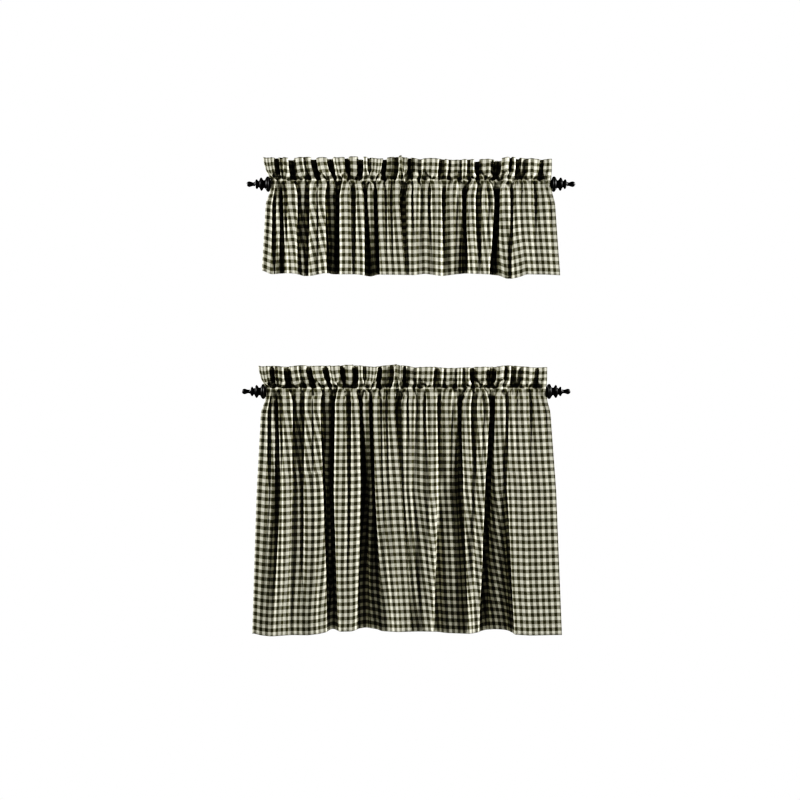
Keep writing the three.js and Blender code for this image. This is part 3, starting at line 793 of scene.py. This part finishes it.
def gingham():
    material, start, shader = new_material("gingham")
    flat = start.add("ShaderNodeUVMap", {"uv_map": "flat_cut"})
    waver = start.add("ShaderNodeTexNoise", None, {"Vector": flat, "Scale": 420.0, "Detail": 1.0})
    u = start.add("ShaderNodeSeparateXYZ", None, {0: flat}) + (waver - 0.5) * 0.0006
    v = start.add("ShaderNodeSeparateXYZ", None, {0: flat}, output=1) + (waver - 0.5) * 0.0006

    def stripe(length, repeat):
        place = start.math("FRACT", length / repeat)
        off = start.math("ABSOLUTE", place - 0.5)
        return start.add("ShaderNodeMapRange", {"interpolation_type": "SMOOTHSTEP"}, {
            0: off, 1: 0.232, 2: 0.268, 3: 1.0, 4: 0.0})

    warp = stripe(u, WARP_REPEAT)
    weft = stripe(v - 0.009, WEFT_REPEAT)
    over = start.math("SINE", u * (math.pi / YARN)) * start.math("SINE", v * (math.pi / YARN))
    share = 0.5 + over * 0.3

    def slubs(across, along):
        stretched = start.add(
            "ShaderNodeVectorMath", {"operation": "MULTIPLY"}, {0: flat, 1: (across, along, 1.0)})
        return start.add("ShaderNodeTexNoise", None, {"Vector": stretched, "Scale": 1.0, "Detail": 2.0})

    slub_warp = slubs(SLUB_FINE, SLUB_LONG)
    slub_weft = slubs(SLUB_LONG, SLUB_FINE)
    dark = (warp * share + weft * (1.0 - share)) ** 0.5
    colour = start.add("ShaderNodeMix", {"data_type": "RGBA"}, {0: dark, 6: CREAM, 7: BLACK_YARN}, output=2)
    tone = 0.82 + slub_warp * 0.18 + slub_weft * 0.18
    colour = start.add("ShaderNodeVectorMath", {"operation": "SCALE"}, {0: colour, "Scale": tone})
    feed(colour, shader, "Base Color")
    height = over * 0.5 + slub_warp * 0.8 + slub_weft * 0.8
    bump = start.add("ShaderNodeBump", None, {"Height": height, "Strength": 0.25, "Distance": 0.00035})
    feed(bump, shader, "Normal")
    shader.inputs["Roughness"].default_value = 0.9
    shader.inputs["Specular IOR Level"].default_value = 0.18
    return material


GINGHAM = gingham()
tier_left_hung = hang_panel(
    LEFT_FOLDS, LEFT_RUFFLES, LEFT_CRESTS, LEFT_CREASES, LEFT_SIDES, TIER_DROP, TIER_HEM, EYE_LEVEL,
    LEFT_TUCK, LEFT_SEED)
tier_left = sew_sheet("tier_left_cloth", *hem_panel(*tier_left_hung[:2]), TIER_PLACE, GINGHAM)
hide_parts("tier_left")


# Right tier panel. The same width of gingham and the same heading, gathered into broader folds.
# Its inner edge lies back behind the left panel's, so the split shows as a dark wedge that closes downwards.
RIGHT_FOLDS = {
    "top": np.array([
        # from, to, front, valley
        (-64, -32, 40, 42), (-16, -2, 0, 4), (7, 28, 0, 6), (36, 57, 4, 9), (68, 105, 0, 13),
        (116, 178, 1, 36), (188, 219, 0, 13), (238, 258, 2, 7), (265, 281, 5, 60), (299, 338, 1, 11),
        (346, 369, 0, 4), (377, 414, 2, 8), (428, 487, 1, 1)], float),
    "mid": np.array([
        (-58, -44, 44, 46), (-15, -1, 0, 4), (6, 18, 3, 9), (26, 74, 8, 9), (84, 107, 0, 11),
        (118, 173, 13, 36), (192, 219, 0, 5), (238, 248, 0, 2), (254, 266, 0, 66), (285, 331, 8, 13),
        (342, 366, 0, 2), (374, 414, 1, 3), (428, 506, 1, 1)], float),
    "hem": np.array([
        (-26, -4, 42, 44), (10, 19, 10, 11), (25, 36, 9, 10), (45, 62, 7, 8), (71, 95, 6, 40),
        (116, 190, 22, 34), (208, 217, 19, 15), (224, 234, 2, 3), (240, 249, 0, 66), (274, 346, 16, 46),
        (360, 384, 0, 3), (392, 414, 1, 3), (426, 522, 1, 1)], float),
}
RIGHT_RUFFLES = np.array([
    # at the seam, at the top, width at the top, depth
    (-10, -6, 10, 15), (36, 37, 4, 5), (96, 104, 22, 9), (122, 127, 6, 6), (178, 171, 5, 5),
    (199, 194, 8, 8), (232, 222, 18, 25), (284, 293, 27, 29), (312, 336, 6, 12), (358, 360, 12, 20),
    (384, 388, 20, 8), (428, 440, 13, 9)], float)
RIGHT_CRESTS = np.array([
    # X, height of the top edge
    (-35, 91), (-4, 87), (30, 77), (81, 82), (132, 74), (166, 74), (217, 80), (285, 83), (353, 88),
    (387, 83), (438, 77), (476, 78)], float)
RIGHT_CREASES = (
    # X where it starts, X where it ends, start, end, depth, width
    (10, 12, 10, 420, 4, 8), (155, 150, 4, 380, 7, 8), (84, 86, 20, 360, 4, 7), (468, 484, 10, 300, 5, 9),
    (200, 196, 20, 300, 4, 6))
RIGHT_SIDES = {"pocket": (-35.8, 475), "header": (-39, 476)}
RIGHT_TUCK, RIGHT_SEED = 9.0, 8
tier_right_hung = hang_panel(
    RIGHT_FOLDS, RIGHT_RUFFLES, RIGHT_CRESTS, RIGHT_CREASES, RIGHT_SIDES, TIER_DROP, TIER_HEM, EYE_LEVEL,
    RIGHT_TUCK, RIGHT_SEED)
tier_right = sew_sheet("tier_right_cloth", *hem_panel(*tier_right_hung[:2]), TIER_PLACE, GINGHAM)
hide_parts("tier_right")


# Valance panels. The same cloth and heading cut short, on the upper rod.
# They are gathered like the tiers below, so the folds of the two rows answer each other.
VALANCE_DROP = 306.0
VALANCE_HEM = np.array([
    # X, Z
    (-503, -293), (-476, -306), (-421, -302), (-390, -304), (-363, -312), (-336, -311), (-296, -302),
    (-282, -302), (-265, -306), (-187, -306), (-160, -309), (-137, -314), (-112, -307), (-17, -308),
    (10, -309), (48, -304), (106, -312), (153, -306), (184, -303), (262, -306), (303, -311), (323, -321),
    (344, -321), (371, -315), (391, -306), (456, -307), (504, -309)], float)
VALANCE_EYE = EYE_LEVEL - 1000 * VALANCE_PLACE[1]
valance_left_hung = hang_panel(
    LEFT_FOLDS, LEFT_RUFFLES, LEFT_CRESTS, LEFT_CREASES, LEFT_SIDES, VALANCE_DROP, VALANCE_HEM,
    VALANCE_EYE, LEFT_TUCK, LEFT_SEED)
valance_left = sew_sheet("valance_left_cloth", *hem_panel(*valance_left_hung[:2]), VALANCE_PLACE, GINGHAM)
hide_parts("valance_left")
valance_right_hung = hang_panel(
    RIGHT_FOLDS, RIGHT_RUFFLES, RIGHT_CRESTS, RIGHT_CREASES, RIGHT_SIDES, VALANCE_DROP, VALANCE_HEM,
    VALANCE_EYE, RIGHT_TUCK, RIGHT_SEED)
valance_right = sew_sheet("valance_right_cloth", *hem_panel(*valance_right_hung[:2]), VALANCE_PLACE, GINGHAM)
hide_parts("valance_right")


# Stitching. Lockstitch in black cotton thread along the two seams of each heading and along each bottom hem.
# One stitch is modelled once and copied along every seam, half sunk into the cloth as the machine pulls it.
STITCH_STEP = 4.0


def model_stitch():
    bpy.ops.object.select_all(action="DESELECT")
    bpy.ops.mesh.primitive_cylinder_add(vertices=5, radius=0.3, depth=1.5, rotation=(0.0, math.pi / 2, 0.0))
    stitch = bpy.context.active_object
    bpy.ops.object.transform_apply(location=True, rotation=True, scale=True)
    for side in (-1, 1):
        bpy.ops.object.mode_set(mode="EDIT")
        bpy.ops.mesh.select_mode(type="FACE")
        bpy.ops.mesh.select_all(action="DESELECT")
        bpy.ops.object.mode_set(mode="OBJECT")
        for face in stitch.data.polygons:
            face.select = face.normal.x * side > 0.9
        bpy.ops.object.mode_set(mode="EDIT")
        bpy.ops.mesh.extrude_region_move(TRANSFORM_OT_translate={"value": (side * 0.7, -0.32, 0.0)})
        bpy.ops.transform.resize(value=(1.0, 0.5, 0.5), center_override=(side * 1.45, -0.32, 0.0))
        bpy.ops.object.mode_set(mode="OBJECT")
    points = np.array([vertex.co[:] for vertex in stitch.data.vertices])
    faces = [list(face.vertices) for face in stitch.data.polygons]
    bpy.data.objects.remove(stitch)
    return points, faces


STITCH_POINTS, STITCH_FACES = model_stitch()


def black_thread():
    material, start, shader = new_material("black_thread")
    place = start.add("ShaderNodeTexCoord", output=3)
    fibre = start.add("ShaderNodeTexNoise", None, {"Vector": place, "Scale": 2600.0, "Detail": 3.0})
    colour = start.add("ShaderNodeMix", {"data_type": "RGBA"}, {
        0: fibre, 6: (0.030, 0.029, 0.017, 1.0), 7: (0.085, 0.082, 0.052, 1.0)}, output=2)
    feed(colour, shader, "Base Color")
    bump = start.add("ShaderNodeBump", None, {"Height": fibre, "Strength": 0.4, "Distance": 0.0002})
    feed(bump, shader, "Normal")
    shader.inputs["Roughness"].default_value = 0.75
    return material


THREAD = black_thread()


def stitch_panel(name, rows, seams, place):
    """All the stitches of one panel, along its seam rows, as one piece."""
    at = np.arange(5.0, CLOTH_WIDTH - 4.0, STITCH_STEP)
    normal = out_of_cloth(rows)
    frames = []
    for k in seams.values():
        middle, out = (
            np.stack([np.interp(at, THREADS, of[k, axis]) for axis in range(3)], axis=1)
            for of in (rows, normal))
        ahead = np.gradient(middle, axis=0)
        ahead /= np.linalg.norm(ahead, axis=1, keepdims=True)
        out -= ahead * (out * ahead).sum(axis=1, keepdims=True)
        out /= np.linalg.norm(out, axis=1, keepdims=True)
        frames.append(np.stack([ahead, out, np.cross(ahead, out), middle + 0.12 * out], axis=1))
    frames = np.concatenate(frames)
    local = np.concatenate([STITCH_POINTS, np.ones((len(STITCH_POINTS), 1))], axis=1)
    points = np.einsum("pk,nkc->npc", local, frames).reshape(-1, 3) / 1000
    points += np.array([place[0], 0.0, place[1]])
    faces = [
        [i + n * len(STITCH_POINTS) for i in face] for n in range(len(frames)) for face in STITCH_FACES]
    mesh = bpy.data.meshes.new(name)
    mesh.from_pydata(points.tolist(), [], faces)
    mesh.polygons.foreach_set("use_smooth", np.ones(len(faces), bool))
    mesh.update()
    stitches = bpy.data.objects.new(name, mesh)
    bpy.context.scene.collection.objects.link(stitches)
    return finish_piece(stitches, name, THREAD)


# Each panel gets its stitching along its seams, and the length of its flat cut is worked out.
for sheet, (rows, lengths, seams), place, rod in (
        (tier_left, tier_left_hung, TIER_PLACE, tier_rod),
        (tier_right, tier_right_hung, TIER_PLACE, tier_rod),
        (valance_left, valance_left_hung, VALANCE_PLACE, valance_rod),
        (valance_right, valance_right_hung, VALANCE_PLACE, valance_rod)):
    stitches = stitch_panel(sheet.name.replace("cloth", "stitching"), rows, seams, place)
    cut = (lengths[-1] - lengths[0] + BOTTOM_HEM) / 1000


# Floor, light and camera. A plain pale floor in a white surround. A soft light stands far round on
# either side, so that each fold shades the next, and two broad fills reach the back.
# The camera looks straight on, as the photograph does.
FLOOR_LEVEL = -1.85
FLOOR_RADIUS = 1.0
bpy.ops.object.select_all(action="DESELECT")
bpy.ops.mesh.primitive_circle_add(
    vertices=96, radius=FLOOR_RADIUS, fill_type="NGON", location=(0.0, 0.0, FLOOR_LEVEL))
floor = bpy.context.active_object
floor.name = "studio_floor"
pale, start, shader = new_material("pale_floor")
mottle = start.add("ShaderNodeTexNoise", None, {
    "Vector": start.add("ShaderNodeTexCoord", output=3), "Scale": 7.0, "Detail": 6.0})
paint = start.add("ShaderNodeMix", {"data_type": "RGBA"}, {
    0: mottle, 6: (0.86, 0.86, 0.855, 1.0), 7: (0.92, 0.92, 0.915, 1.0)}, output=2)
feed(paint, shader, "Base Color")
feed(0.78 + mottle * 0.14, shader, "Roughness")
floor.data.materials.append(pale)

world = bpy.data.worlds.new("studio")
bpy.context.scene.world = world
world.use_nodes = True
sky = Finish(world.node_tree)
seen = sky.add("ShaderNodeBackground", None, {"Color": (1.0, 1.0, 1.0, 1.0), "Strength": 1.0})
ambient = sky.add("ShaderNodeBackground", None, {"Color": (1.0, 1.0, 1.0, 1.0), "Strength": 0.03})
straight = sky.add("ShaderNodeLightPath")
both = sky.add("ShaderNodeMixShader", None, {0: straight, 1: ambient, 2: seen})
world.node_tree.links.new(both.socket, world.node_tree.nodes["World Output"].inputs["Surface"])


def studio_light(name, place, aim, size, power):
    data = bpy.data.lights.new(name, "AREA")
    data.shape = "DISK"
    data.size = size
    data.energy = power
    light = bpy.data.objects.new(name, data)
    bpy.context.scene.collection.objects.link(light)
    light.location = place
    light.rotation_euler = (Vector(aim) - light.location).to_track_quat("-Z", "Y").to_euler()
    return light


studio_light("right_softbox", (4.3, -1.06, 1.5), (0.0, 0.0, 0.0), 0.9, 450.0)
studio_light("left_softbox", (-4.3, -1.06, 1.5), (0.0, 0.0, 0.0), 0.9, 365.0)
studio_light("rear_right_fill", (3.4, 3.0, 0.9), (0.0, 0.0, 0.0), 1.6, 110.0)
studio_light("rear_left_fill", (-3.4, 3.0, 0.9), (0.0, 0.0, 0.0), 1.6, 150.0)

camera = bpy.data.objects.new("camera", bpy.data.cameras.new("camera"))
bpy.context.scene.collection.objects.link(camera)
camera.data.sensor_width = 36.0
camera.data.lens = 42.4
camera.location = (-0.021, -SIGHT / 1000, EYE_LEVEL / 1000)
camera.rotation_euler = (math.pi / 2, 0.0, 0.0)
bpy.context.scene.camera = camera
# A hard print: the photograph's own contrast, with its deep shadows
print_settings = bpy.context.scene.view_settings
print_settings.view_transform = "Standard"
print_settings.use_curve_mapping = True
print_curve = print_settings.curve_mapping.curves[3]
for light_in, light_out in ((0.05, 0.013), (0.12, 0.07), (0.3, 0.28)):
    print_curve.points.new(light_in, light_out)
print_settings.curve_mapping.update()
